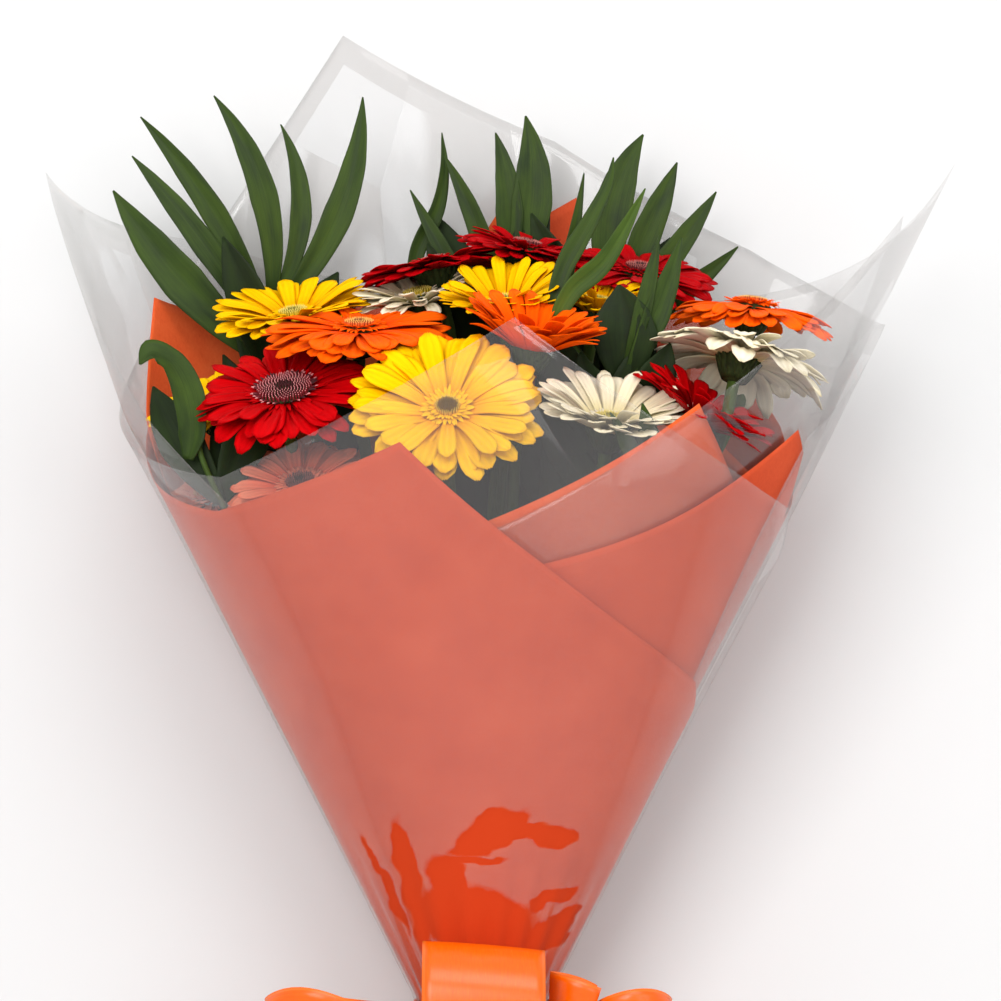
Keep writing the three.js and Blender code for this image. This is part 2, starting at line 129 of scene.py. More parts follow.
# ---------------------------------------------------------------- node materials
class Nodes:
    """A material's node tree, with short ways to add to it."""

    def __init__(self, name):
        self.material = bpy.data.materials.new(name)
        self.material.use_nodes = True
        self.tree = self.material.node_tree
        self.shader = self.tree.nodes["Principled BSDF"]
        self.output = self.tree.nodes["Material Output"]

    def add(self, kind, inputs=(), **settings):
        node = self.tree.nodes.new("ShaderNode" + kind)
        for key, value in settings.items():
            setattr(node, key, value)
        for key, value in dict(inputs).items():
            self.feed(node.inputs[key], value)
        return node

    def feed(self, socket, value):
        if isinstance(value, bpy.types.NodeSocket):
            self.tree.links.new(value, socket)
        elif isinstance(value, bpy.types.Node):
            self.tree.links.new(value.outputs[0], socket)
        else:
            socket.default_value = value

    def math(self, operation, a, b=0.0, c=0.0, clamp=False):
        return self.add(
            "Math", {0: a, 1: b, 2: c}, operation=operation, use_clamp=clamp
        ).outputs[0]

    def ramp(self, factor, stops):
        node = self.add("ValToRGB", {"Fac": factor})
        elements = node.color_ramp.elements
        while len(elements) < len(stops):
            elements.new(0.5)
        for element, (at, colour) in zip(elements, stops):
            element.position = at
            element.color = (*linear(colour), 1) if not np.isscalar(colour) else (
                colour, colour, colour, 1,
            )
        return node.outputs[0]

    def mix(self, factor, a, b, blend="MIX"):
        node = self.add("Mix", data_type="RGBA", blend_type=blend)
        self.feed(node.inputs[0], factor)
        for socket, value in ((node.inputs[6], a), (node.inputs[7], b)):
            self.feed(socket, (*linear(value), 1) if isinstance(value, tuple) else value)
        return node.outputs[2]

    def attribute(self, name):
        return self.add("Attribute", attribute_name=name).outputs["Vector"]

    def parts(self, vector):
        node = self.add("SeparateXYZ", {0: vector})
        return node.outputs[0], node.outputs[1], node.outputs[2]

    def noise(self, vector, scale, detail=3.0, roughness=0.5, distortion=0.0):
        node = self.add(
            "TexNoise",
            {"Vector": vector, "Scale": scale, "Detail": detail,
             "Roughness": roughness, "Distortion": distortion},
        )
        return node.outputs[0]

    def stretch(self, vector, scale):
        return self.add("Mapping", {"Vector": vector, "Scale": scale}).outputs[0]

    def bump(self, height, strength, distance):
        node = self.add(
            "Bump", {"Height": height, "Strength": strength, "Distance": distance}
        )
        self.feed(self.shader.inputs["Normal"], node)
        return node

    def surface(self, **values):
        for key, value in values.items():
            self.feed(self.shader.inputs[key.replace("_", " ")], value)
        return self.material


def linear(colour):
    """An sRGB colour from 0 to 255 as linear light from 0 to 1."""
    c = np.array(colour, float) / 255
    return tuple(np.where(c <= 0.04045, c / 12.92, ((c + 0.055) / 1.055) ** 2.4))


def petal_material(name, base, middle, tip, under):
    """Petal tissue: colour from base to tip, fine grooves along it with painted shade in their hollows, and a change
    from petal to petal.
    The petal attribute holds across, along and a number for the petal."""
    n = Nodes(name)
    across, along, which = n.parts(n.attribute("petal"))
    colour = n.ramp(along, [(0.0, base), (0.4, middle), (0.9, tip), (1.0, middle)])
    strands = n.add("CombineXYZ", {
        0: n.math("MULTIPLY", across, 9.0), 1: n.math("MULTIPLY", along, 1.3),
        2: n.math("MULTIPLY", which, 37.0),
    })
    veins = n.noise(strands, 2.2, 4.0, 0.6)
    # the grooves follow the petals' ridges: they give the bump, and they darken the colour in the hollows as a
    # painted shade
    groove_relief_and_shade = n.math("MULTIPLY_ADD", n.math("COSINE", n.math("MULTIPLY", across, 9.4)), 0.5, 0.5)
    shade = n.math("MULTIPLY_ADD", veins, 0.24, 0.80)
    shade = n.math("MULTIPLY_ADD", groove_relief_and_shade, 0.09, shade)
    shade = n.math("MULTIPLY_ADD", n.math("FRACT", n.math("MULTIPLY", which, 7.3)), 0.12, shade)
    colour = n.mix(1.0, colour, n.add("CombineColor", {0: shade, 1: shade, 2: shade}), "MULTIPLY")
    blotch = n.noise(
        n.add("CombineXYZ", {
            0: across, 1: n.math("MULTIPLY", along, 2.0), 2: n.math("MULTIPLY", which, 91.0),
        }),
        1.4,
    )
    colour = n.mix(
        n.math("MULTIPLY", n.math("SUBTRACT", blotch, 0.5, clamp=True), 1.4), colour, under
    )
    n.bump(n.math("MULTIPLY_ADD", groove_relief_and_shade, 0.6, veins), 0.4, 0.0004)
    return n.surface(
        Base_Color=colour, Roughness=n.math("MULTIPLY_ADD", veins, 0.25, 0.42),
        Specular_IOR_Level=0.03,
    )


def plant_material(name, dark, light, rough, veins_across):
    """Leaf or stem tissue with parallel veins; the petal attribute holds across, along, number."""
    n = Nodes(name)
    across, along, which = n.parts(n.attribute("petal"))
    strands = n.add("CombineXYZ", {
        0: n.math("MULTIPLY", across, veins_across), 1: n.math("MULTIPLY", along, 0.8),
        2: n.math("MULTIPLY", which, 53.0),
    })
    veins = n.noise(strands, 1.5, 3.0)
    wide = n.noise(
        n.add("CombineXYZ", {
            0: across, 1: n.math("MULTIPLY", along, 3.0), 2: n.math("MULTIPLY", which, 17.0),
        }),
        1.2,
    )
    factor = n.math("ADD", n.math("MULTIPLY", veins, 0.35), n.math("MULTIPLY", wide, 0.75))
    colour = n.ramp(factor, [(0.3, dark), (0.8, light)])
    n.bump(veins, 0.2, 0.0003)
    return n.surface(
        Base_Color=colour, Roughness=n.math("MULTIPLY_ADD", wide, 0.3, rough),
        Specular_IOR_Level=0.22,
    )


def disc_material(name, ring, middle, heart_and_gap_shade, tips, tips_from=0.34):
    """The small florets in the middle of a head, from the rim to the dark middle, with pale tips, and painted shade
    in the middle's dark colour at the foot of each floret.
    The petal attribute holds a side, the height up the floret and the share of the way out."""
    n = Nodes(name)
    across, along, which = n.parts(n.attribute("petal"))
    spots = n.noise(n.attribute("spot"), 900.0, 2.0)
    colour = n.ramp(which, [(0.0, heart_and_gap_shade), (0.42, heart_and_gap_shade), (0.6, middle), (0.74, middle), (0.88, ring)])
    colour = n.mix(n.math("MULTIPLY", spots, 0.5), colour, ring)
    pale = n.math("MULTIPLY", n.math("GREATER_THAN", along, 0.76), n.math("GREATER_THAN", which, tips_from))
    colour = n.mix(n.math("MULTIPLY", pale, n.math("MULTIPLY_ADD", spots, 1.0, 0.3)), colour, tips)
    # painted shade: the foot of every floret takes the dark middle colour, standing in for the shade in the gaps
    # between florets
    colour = n.mix(n.math("LESS_THAN", along, 0.2), colour, heart_and_gap_shade)
    n.bump(spots, 0.3, 0.0003)
    return n.surface(Base_Color=colour, Roughness=n.math("MULTIPLY_ADD", spots, 0.3, 0.45))


PETALS = {
    "yellow": petal_material("petals_yellow", (236, 146, 0), (255, 188, 0), (255, 200, 2), (242, 164, 0)),
    "orange": petal_material("petals_orange", (226, 50, 0), (255, 84, 0), (255, 102, 6), (246, 70, 0)),
    "orange_fire": petal_material("petals_orange_fire", (216, 34, 4), (248, 62, 8), (254, 86, 14), (236, 48, 6)),
    # coral: orange-red petals made lighter than the flower's own colour, a painted light for the low heads that lie
    # in the film's and paper's shade
    "coral": petal_material("petals_coral_painted_light", (240, 74, 40), (255, 122, 86), (255, 146, 112), (250, 98, 64)),
    "red": petal_material("petals_red", (104, 0, 3), (176, 0, 4), (198, 1, 7), (138, 0, 4)),
    "dark_red": petal_material("petals_dark_red", (96, 0, 4), (166, 0, 8), (188, 2, 10), (122, 0, 6)),
    "cream": petal_material("petals_cream", (222, 206, 130), (242, 229, 192), (248, 239, 214), (240, 216, 172)),
}
DISCS = {
    "pale": disc_material("disc_pale", (226, 170, 30), (84, 58, 26), (40, 28, 22), (255, 226, 96), 0.74),
    "green": disc_material("disc_green", (206, 176, 30), (160, 140, 30), (104, 104, 26), (244, 222, 110)),
    "dark": disc_material("disc_dark", (110, 14, 18), (60, 6, 12), (30, 4, 8), (196, 110, 100)),
    "wide": disc_material("disc_wide", (128, 10, 26), (76, 8, 22), (24, 2, 8), (236, 150, 150)),
    "orange": disc_material("disc_orange", (226, 96, 18), (176, 50, 10), (110, 40, 10), (250, 196, 96)),
}
GREEN = plant_material("green_bracts", (22, 32, 12), (62, 76, 32), 0.6, 7.0)
STALK = plant_material("green_stalk", (38, 58, 18), (88, 112, 46), 0.5, 6.0)
LEAF = plant_material("palm_leaf", (22, 40, 6), (62, 84, 22), 0.42, 14.0)
# a darker copy of the palm leaf: painted shade for the blades and leaflets deep in the bouquet
SHADED_LEAF = plant_material("palm_leaf_painted_shade", (10, 22, 4), (36, 54, 14), 0.5, 14.0)
# a lighter copy of the palm leaf colour
LIGHT_LEAF = plant_material("lighter_palm_leaf", (32, 56, 8), (80, 106, 32), 0.42, 12.0)


# ---------------------------------------------------------------- meshes
def grid_shell(rows, cols):
    """The quads of a closed sheet: an upper grid, a lower grid and the rim between them.
    The upper side faces across x along."""
    i = np.arange(rows * cols).reshape(rows, cols)
    upper = np.stack([i[:-1, :-1], i[:-1, 1:], i[1:, 1:], i[1:, :-1]], -1).reshape(-1, 4)
    lower = upper[:, ::-1] + rows * cols
    rim = np.concatenate([i[0, :-1], i[:-1, -1], i[-1, :0:-1], i[:0:-1, 0]])
    after = np.roll(rim, -1)
    sides = np.stack([after, rim, rim + rows * cols, after + rows * cols], -1)
    return np.concatenate([upper, lower, sides])


def thicken(points, thickness):
    """Sheets of points (..., rows, cols, 3) with their lower sides: (..., 2, rows, cols, 3)."""
    along = np.gradient(points, axis=-3)
    across = np.gradient(points, axis=-2)
    normal = np.cross(across, along)
    normal /= np.linalg.norm(normal, axis=-1, keepdims=True) + 1e-12
    return np.stack([points, points - normal * thickness], axis=-4)


class Builder:
    """Gathers sheets, tubes and their petal attribute into one mesh."""

    def __init__(self):
        self.points, self.marks, self.faces, self.slots = [], [], [], []
        self.count = 0

    def add(self, points, faces, marks, slot=0):
        points = np.asarray(points).reshape(-1, 3)
        self.points.append(points)
        self.marks.append(np.broadcast_to(marks, points.shape).reshape(-1, 3))
        self.faces.append(np.asarray(faces) + self.count)
        self.slots.append(np.full(len(faces), slot))
        self.count += len(points)

    def sheets(self, points, thickness, marks, slot=0):
        """Closed sheets from points (sheets, rows, cols, 3); marks of the same shape."""
        count, rows, cols, _ = points.shape
        both = thicken(points, thickness)
        faces = grid_shell(rows, cols)
        offsets = np.arange(count)[:, None, None] * (2 * rows * cols)
        marks = np.repeat(np.asarray(marks)[:, None], 2, axis=1)
        self.add(both, (faces[None] + offsets).reshape(-1, 4), marks.reshape(-1, 3), slot)

    def tube(self, path, radius, sides, slot=0, which=0.5, wobble=0.0):
        """A closed round tube along a path (steps, 3)."""
        path = np.asarray(path, float)
        steps = len(path)
        radius = np.broadcast_to(radius, steps)
        tangent = np.gradient(path, axis=0)
        tangent /= np.linalg.norm(tangent, axis=1, keepdims=True)
        side = np.cross(tangent, [0.0, 0.1, 1.0])
        side /= np.linalg.norm(side, axis=1, keepdims=True)
        up = np.cross(side, tangent)
        turn = np.linspace(0, 2 * np.pi, sides, endpoint=False)
        reach = radius[:, None] * (1 + wobble * np.sin(turn * 5)[None])
        ring = path[:, None] + reach[..., None] * (
            side[:, None] * np.cos(turn)[None, :, None] + up[:, None] * np.sin(turn)[None, :, None]
        )
        i = np.arange(steps * sides).reshape(steps, sides)
        j = np.roll(i, -1, axis=1)
        quads = np.stack([i[:-1], i[1:], j[1:], j[:-1]], -1).reshape(-1, 4)
        ends = np.array([[0, 0, 0, 0]])[:0]
        points = np.concatenate([ring.reshape(-1, 3), path[:1], path[-1:]])
        first, last = steps * sides, steps * sides + 1
        caps = [[first, a, b, b] for a, b in zip(i[0], j[0])]
        caps += [[last, b, a, a] for a, b in zip(i[-1], j[-1])]
        marks = np.zeros((len(points), 3))
        marks[: steps * sides, 0] = np.tile(np.linspace(-1, 1, sides), steps)
        marks[: steps * sides, 1] = np.repeat(np.linspace(0, 1, steps), sides)
        marks[last, 1] = 1
        marks[:, 2] = which
        self.add(points, np.concatenate([ends, quads, caps]), marks, slot)

    def finish(self, name, materials, smooth=True, extra=None):
        """The gathered mesh as an object in the row's frame."""
        points = np.concatenate(self.points)
        faces = np.concatenate(self.faces)
        slots = np.concatenate(self.slots)
        marks = np.concatenate(self.marks)
        triangle = faces[:, 2] == faces[:, 3]
        sizes = np.where(triangle, 3, 4)
        keep = np.ones(faces.shape, bool)
        keep[triangle, 3] = False
        mesh = bpy.data.meshes.new(name)
        mesh.vertices.add(len(points))
        mesh.vertices.foreach_set("co", place(points).astype(np.float32).ravel())
        mesh.loops.add(int(sizes.sum()))
        mesh.loops.foreach_set("vertex_index", faces[keep].astype(np.int32))
        mesh.polygons.add(len(faces))
        starts = np.concatenate([[0], np.cumsum(sizes)[:-1]]).astype(np.int32)
        mesh.polygons.foreach_set("loop_start", starts)
        mesh.polygons.foreach_set("material_index", slots.astype(np.int32))
        mesh.polygons.foreach_set("use_smooth", np.full(len(faces), smooth))
        mesh.update(calc_edges=True)
        layer = mesh.attributes.new("petal", "FLOAT_VECTOR", "POINT")
        layer.data.foreach_set("vector", marks.astype(np.float32).ravel())
        layer = mesh.attributes.new("spot", "FLOAT_VECTOR", "POINT")
        layer.data.foreach_set("vector", (points * MM).astype(np.float32).ravel())
        for material in materials:
            mesh.materials.append(material)
        piece = bpy.data.objects.new(name, mesh)
        bpy.context.scene.collection.objects.link(piece)
        return piece


def settle(piece, node):
    """Hangs a piece under the root body and hides the CAD node it stands for."""
    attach(piece, "root")
    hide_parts(node)


def smooth_path(points, count):
    """A centripetal curve through points, sampled count times."""
    p = np.array(points, float)
    p = np.concatenate([[2 * p[0] - p[1]], p, [2 * p[-1] - p[-2]]])
    knots = np.concatenate([[0], np.cumsum(np.linalg.norm(np.diff(p, axis=0), axis=1) ** 0.5)])
    out = []
    for t in np.linspace(knots[1], knots[-2] - 1e-6, count):
        k = int(np.searchsorted(knots, t, side="right")) - 1
        a = [((knots[k + i] - t) * p[k - 1 + i] + (t - knots[k - 1 + i]) * p[k + i])
             / (knots[k + i] - knots[k - 1 + i]) for i in range(3)]
        b = [((knots[k + 1 + i] - t) * a[i] + (t - knots[k - 1 + i]) * a[i + 1])
             / (knots[k + 1 + i] - knots[k - 1 + i]) for i in range(2)]
        out.append(((knots[k + 1] - t) * b[0] + (t - knots[k]) * b[1]) / (knots[k + 1] - knots[k]))
    return np.array(out)


# ---------------------------------------------------------------- flowers
# name, petals, disc, middle of the petals, lean to the front and to the right in degrees,
# radius, rise of the petal tips, droop of the tips, place among the tied stems
FLOWERS = [
    ("yellow_front", "yellow", "pale", (-15, 273, 60), 47, 0, 44, 9, 3, (0, 2)),
    ("red_left", "red", "wide", (-87, 281, 36), 31, -8, 41, 4, 4, (-1, 1)),
    ("orange_low_left", "coral", "dark", (-80, 240, 36), 36, -10, 33, 4, 3, (-1, 2)),
    ("orange_left", "orange", "orange", (-55, 310, 12), 15, 0, 44, 2, 4, (-1, 0)),
    ("yellow_back_left", "yellow", "green", (-86, 317, -36), 18, -8, 38, 9, 2, (-2, -1)),
    ("cream_back_left", "cream", "green", (-29, 326, -38), 14, -10, 31, 8, 3, (-1, -1)),
    ("dark_red_back_left", "dark_red", "dark", (-22, 341, -48), -2, -12, 36, 3, 3, (-1, -2)),
    ("dark_red_back_middle", "dark_red", "dark", (20, 349, -50), 8, 12, 32, 4, 2, (0, -2)),
    ("yellow_middle", "yellow", "green", (10, 321, -6), 22, -4, 30, 13, 2, (0, 0)),
    ("orange_middle", "orange", "orange", (22, 302, 36), 12, 10, 33, 17, 2, (0, 1)),
    ("yellow_right", "yellow", "green", (52, 321, -12), 14, 10, 24, 10, 2, (1, 0)),
    ("dark_red_back_right", "dark_red", "dark", (72, 338, -48), 18, 8, 37, 3, 3, (1, -2)),
    ("orange_right", "orange", "orange", (122, 321, -12), 2, 6, 38, -2, 4, (1, -1)),
    ("cream_right", "cream", "green", (115, 298, 20), -14, 14, 41, 5, 9, (2, 0)),
    ("cream_front", "cream", "green", (56, 267, 57), 20, 8, 34, 14, 2, (1, 2)),
    ("red_right", "red", "dark", (95, 270, 44), 6, 30, 34, 12, 3, (1, 1)),
    ("yellow_low_left", "yellow", "green", (-122, 276, -8), 20, -20, 31, 5, 2, (-2, 0)),
    ("orange_far_left", "coral", "orange", (-122, 236, 4), 30, -24, 18, 5, 2, (-2, 1)),
]
CUP_DEPTH = 13.0
STEM_RADIUS = 3.0
STEM_PITCH = 7.2
STEM_END = -150.0


def flower_axes(flower):
    """Columns are the flower's own X, Y (its facing) and Z in bouquet axes."""
    turn = Euler((math.radians(flower[4]), 0, 0)).to_matrix()
    lean = Euler((0, 0, -math.radians(flower[5]))).to_matrix()
    return np.array(lean @ turn)


def petal_ring(count, inner, outer, width, rise, droop, base_height, wild, rows=12, cols=7, shape="petal"):
    """A whorl of petals round +Y as points and marks (petals, rows, cols, 3)."""
    t = np.linspace(0, 1, rows)[None, :, None]
    s = np.linspace(-1, 1, cols)[None, None, :]
    number = np.arange(count)[:, None, None]
    unit = lambda spread: (rng.random((count, 1, 1)) - 0.5) * 2 * spread
    span = outer - inner
    turn = (number + unit(0.3 * wild)) / count * 2 * np.pi
    length = span * (1 + unit(0.07 * wild))
    lift = rise * (1 + unit(0.2 * wild)) + unit(0.05 * wild) * span
    hang = droop * (1 + unit(0.7 * wild))
    curl = unit(0.05 * wild) * span
    twist = unit(0.3 * wild) * t
    bend = unit(0.07 * wild) * span * t**2
    if shape == "petal":
        # a strap that widens to two thirds of its length, with a rounded tip of two small notches
        tip = 0.74
        profile = 0.46 + 0.54 * np.minimum(1, t / tip) ** 0.8
        rounding = np.sqrt(np.clip(1 - (np.clip(t - tip, 0, 1) / (1 - tip)) ** 2.6, 0.05, 1))
        half = width / 2 * profile * rounding * (1 + unit(0.14))
        notch = unit(0.5) + 0.6
        lobes = 1 - 0.018 * notch * (1 - np.cos(2.4 * np.pi * s)) * np.clip(t - 0.7, 0, 1) / 0.3
    else:
        half = width / 2 * (0.75 + 0.25 * np.sin(np.pi * t)) * np.sqrt(np.clip(1 - t**4, 0.04, 1))
        lobes = 1.0
    along = inner + length * t * lobes
    side = half * s + bend
    cup = 0.22 * half * s**2 * np.sin(np.pi * np.clip(t, 0, 1) ** 0.8) * (1 + unit(0.9))
    ridge = 0.035 * width * np.cos(3 * np.pi * s) * np.sin(np.pi * np.clip(t * 1.05, 0, 1))
    wave = 0.012 * span * np.sin(2 * np.pi * (t * 1.6 + unit(1.0))) * t
    height = (
        base_height + lift * (1.25 * t - 0.25 * t**2) - hang * t**3 + curl * t**2 + cup + ridge + wave
        + twist * half * s
    )
    out_x = along * np.cos(turn) - side * np.sin(turn)
    out_z = along * np.sin(turn) + side * np.cos(turn)
    shape3 = np.broadcast_shapes(out_x.shape, height.shape)
    points = np.stack([np.broadcast_to(a, shape3) for a in (out_x, height, out_z)], -1)
    which = rng.random((count, 1, 1))
    marks = np.stack([np.broadcast_to(a, shape3) for a in (s, t, which)], -1)
    return points, marks


def bud_field(count, reach, dome, size, tall):
    """Small closed buds in a spiral over a dome, as points, faces and marks."""
    k = np.arange(count)
    share = np.sqrt((k + 0.5) / count)
    turn = k * math.radians(137.508)
    radius = share * reach
    top = dome * (1 - share**2)
    sides = 5
    rings = [(0.8, -0.6, 0.0), (1.0, 0.35, 0.5), (0.5, 1.0, 0.8)]
    points, marks = [], []
    for r, h, mark in rings:
        for c in range(sides):
            a = turn + c / sides * 2 * np.pi
            x = radius * np.cos(turn) + size * r * np.cos(a) * (1 + 0.06 * share * h)
            z = radius * np.sin(turn) + size * r * np.sin(a)
            y = top + tall * h * (0.7 + 0.5 * share + 0.25 * np.sin(k * 2.4))
            points.append(np.stack([x, y, z], -1))
            marks.append(np.stack([share * 0, share * 0 + mark, share], -1))
    points.append(np.stack([radius * np.cos(turn), top - 0.8, radius * np.sin(turn)], -1))
    points.append(np.stack([radius * np.cos(turn), top + tall * 1.5, radius * np.sin(turn)], -1))
    marks.append(np.stack([share * 0, share * 0, share], -1))
    marks.append(np.stack([share * 0, share * 0 + 1, share], -1))
    per = len(points)
    points = np.stack(points, 1)
    marks = np.stack(marks, 1)
    faces = []
    for level in range(2):
        for c in range(sides):
            d = (c + 1) % sides
            a, b = level * sides + c, level * sides + d
            faces.append([a, a + sides, b + sides, b])
    for c in range(sides):
        d = (c + 1) % sides
        faces.append([per - 2, c, d, d])
        faces.append([per - 1, 2 * sides + d, 2 * sides + c, 2 * sides + c])
    faces = (np.array(faces)[None] + (k * per)[:, None, None]).reshape(-1, 4)
    return points, faces, marks


def lathe(profile, sides):
    """A closed turned solid round +Y from (radius, height) rings between two poles."""
    turn = np.linspace(0, 2 * np.pi, sides, endpoint=False)
    rings = [np.stack([r * np.cos(turn), np.full(sides, h), r * np.sin(turn)], -1) for r, h in profile[1:-1]]
    points = np.concatenate(rings + [[[0, profile[0][1], 0]], [[0, profile[-1][1], 0]]])
    n = len(rings)
    i = np.arange(n * sides).reshape(n, sides)
    j = np.roll(i, -1, axis=1)
    quads = np.stack([i[:-1], i[1:], j[1:], j[:-1]], -1).reshape(-1, 4)
    caps = [[n * sides, a, b, b] for a, b in zip(i[0], j[0])]
    caps += [[n * sides + 1, b, a, a] for a, b in zip(i[-1], j[-1])]
    marks = np.zeros((len(points), 3))
    marks[: n * sides, 0] = np.tile(np.linspace(-1, 1, sides), n)
    marks[: n * sides, 1] = np.repeat(np.linspace(0, 1, n), sides)
    return points, np.concatenate([quads, caps]), marks


def gerbera(flower):
    name, petals, disc, at, _, _, radius, rise, droop, _ = flower
    scale = radius / 44
    head = Builder()
    axes = flower_axes(flower)
    shift = np.array(at, float)

    def put(points):
        return points @ axes.T + shift

    def whorl(count, inner, outer, width, up, down, base, slot, wild=1.0, thick=0.35, **more):
        points, marks = petal_ring(count, inner, outer, width, up, down, base, wild, **more)
        head.sheets(put(points), thick, marks, slot)

    wide = disc == "wide"
    width = 10.2 * scale + 0.4
    whorl(23, 7.0, radius * 0.985, width, rise - 1.5, droop, -1.6, 0)
    whorl(21, 6.8, radius * 0.94, width * 0.96, rise + 0.8, droop * 0.8, -0.5, 0)
    whorl(11, 6.6, radius * 0.87, width * 0.9, rise + 1.8, droop * 0.8, 0.4, 0)
    # the short inner florets: petals in small on most heads, dark with pale tips on the wide-eyed one
    short = 1 if wide else 0
    mid = {"wide": 13.0, "pale": 6.6}.get(disc, 7.4)
    whorl(38, mid - 2.6, mid + radius * 0.13, 1.7 * scale + 0.3, 2.4, 1.0, 1.3, 0, 1.3, 0.3,
          rows=7, cols=4, shape="strap")
    whorl(38, mid - 3.0, mid + radius * 0.05, 1.3 * scale + 0.3, 2.6, 0.4, 1.9, short, 1.3, 0.3,
          rows=6, cols=4, shape="strap")
    reach = mid - 0.8
    points, faces, marks = bud_field(260 if wide else 130, reach, 1.0, 0.42, 1.6)
    head.add(put(points + [0, 2.6, 0]), faces, marks.reshape(-1, 3), 1)
    profile = [(0, 3.4), (reach, 2.6), (9.5, 0.2), (9.8, -3.4), (7.6, -8.5), (4.4, -12.2), (0, -CUP_DEPTH)]
    points, faces, marks = lathe(profile, 24)
    head.add(put(points), faces, marks, 2)
    for count, low_end, tall, reach2 in ((13, -11.6, 11.0, 9.8), (16, -9.4, 9.6, 10.6)):
        t = np.linspace(0, 1, 7)[None, :, None]
        s = np.linspace(-1, 1, 4)[None, None, :]
        turn = (np.arange(count)[:, None, None] + 0.2 * rng.random((count, 1, 1))) / count * 2 * np.pi
        half = 1.9 * np.sqrt(np.clip(1 - t**2.2, 0.01, 1))
        out = 5.4 + (reach2 - 5.4) * np.sin(t * np.pi / 2) + 0.5 - 0.35 * s**2
        h = low_end + tall * t + 0 * s
        x = out * np.cos(turn) + half * s * np.sin(turn)
        z = out * np.sin(turn) - half * s * np.cos(turn)
        shape3 = np.broadcast_shapes(x.shape, h.shape)
        points = np.stack([np.broadcast_to(a, shape3) for a in (x, h, z)], -1)
        marks = np.stack([np.broadcast_to(a, shape3) for a in (s, t, rng.random((count, 1, 1)))], -1)
        head.sheets(put(points), 0.35, marks, 2)
    piece = head.finish("gerbera_" + name + "_bloom", [PETALS[petals], DISCS[disc], GREEN])
    settle(piece, "gerbera_" + name)


def stem_path(flower, count):
    column, row = flower[9]
    axes = flower_axes(flower)
    at = np.array(flower[3], float)
    across = STEM_PITCH * (column + (0.5 if row % 2 else 0))
    out = STEM_PITCH * 0.87 * row
    cut = STEM_END + 4 * ((column + 2 * row + 9) % 4)
    return smooth_path(
        [
            at - axes[:, 1] * (CUP_DEPTH - 1.5), at - axes[:, 1] * (CUP_DEPTH + 26),
            (across * 3, 120, out * 2.4), (across, 0, out), (across * 1.5, cut, out * 1.3),
        ],
        count,
    )


for flower in FLOWERS:
    gerbera(flower)
    stem = Builder()
    path = stem_path(flower, 44)
    thick = STEM_RADIUS * (0.92 + 0.12 * np.linspace(0, 1, len(path)))
    stem.tube(path, thick, 14, which=rng.random(), wobble=0.03)
    settle(stem.finish("stem_" + flower[0] + "_stalk", [STALK]), "stem_" + flower[0])


# ---------------------------------------------------------------- leaves
# node: stalk points, blades (base, tip, sideways bow, width, twist in degrees, colour slot); slot 3 is the darkened
# leaf, a painted shade
LEAVES = {
    "palm_frond_left": (
        [(-18, -140, -14), (-15.2, 0, -8.8), (-46, 130, -48), (-99, 300, -76), (-99, 326, -78)],
        [
            ((-99, 297, -76), (-172, 378, -78), -4, 20, 10, 0),
            ((-99, 306, -76), (-163, 394, -76), 3, 12, -15, 0),
            ((-99, 314, -77), (-159, 412, -74), 6, 12, 20, 0),
            ((-99, 322, -78), (-125, 422, -76), 11, 13, 5, 0),
            ((-99, 322, -78), (-94, 409, -80), 12, 10, -25, 0),
            ((-99, 318, -77), (-56, 422, -84), 11, 14, 15, 0),
        ],
    ),
    "palm_frond_middle": (
        [(0, -140, -20), (0, 0, -17.6), (4, 130, -56), (8, 280, -90), (10, 340, -92)],
        [
            ((8, 300, -91), (-34, 379, -90), 0, 9, 10, 0),
            ((9, 315, -92), (-18, 395, -88), 4, 10, 15, 0),
            ((9, 330, -92), (6, 406, -92), 5, 13, -10, 0),
            ((10, 332, -92), (20, 414, -94), 8, 19, 5, 0),
        ],
    ),
    "palm_frond_right": (
        [(18, -140, -14), (15.2, 0, -8.8), (32, 130, -54), (58, 280, -86), (62, 330, -88)],
        [
            ((61, 324, -88), (75, 405, -90), -8, 19, 8, 0),
            ((61, 322, -88), (91, 392, -91), 0, 14, -12, 0),
            ((61, 316, -88), (109, 378, -86), 2, 12, 20, 0),
            ((60, 308, -87), (119, 352, -80), 2, 10, -20, 0),
        ],
    ),
    "palm_frond_front": (
        [(18, -140, 12), (15.2, 0, 8.8), (36, 130, 24), (60, 270, 16), (64, 296, 15)],
        [
            ((62, 286, 15.5), (61, 330, 20), 2, 30, 15, 3),
            ((63, 288, 15.5), (79, 352, 24), 1, 8, 25, 0),
            ((63, 284, 15.5), (89, 351, 22), 2, 12, -10, 0),
            ((61, 262, 20), (44, 300, 22), -3, 18, 12, 3),
            ((62, 262, 20), (84, 304, 22), 2, 20, -12, 3),
        ],
    ),
    "curled_leaf_left": (
        [(-18, -138, 12), (-15.2, 0, 8.8), (-64, 130, 20), (-124, 252, 32), (-126, 262, 32)],
        [
            ((-125, 250, 32), (-136, 300, 32), 2, 20, 20, 0),
            ((-134, 292, 32), (-150, 300, 34), 0, 14, 60, 1),
        ],
    ),
    "pointed_leaf_front": (
        [(2, -138, 20), (0, 0, 17.6), (32, 130, 42), (76, 232, 60), (77, 240, 61)],
        [
            ((76.5, 232, 60), (70, 276, 78), 1, 12, 10, 0),
            ((76, 230, 60), (56, 272, 82), 1, 9, -20, 0),
        ],
    ),
}


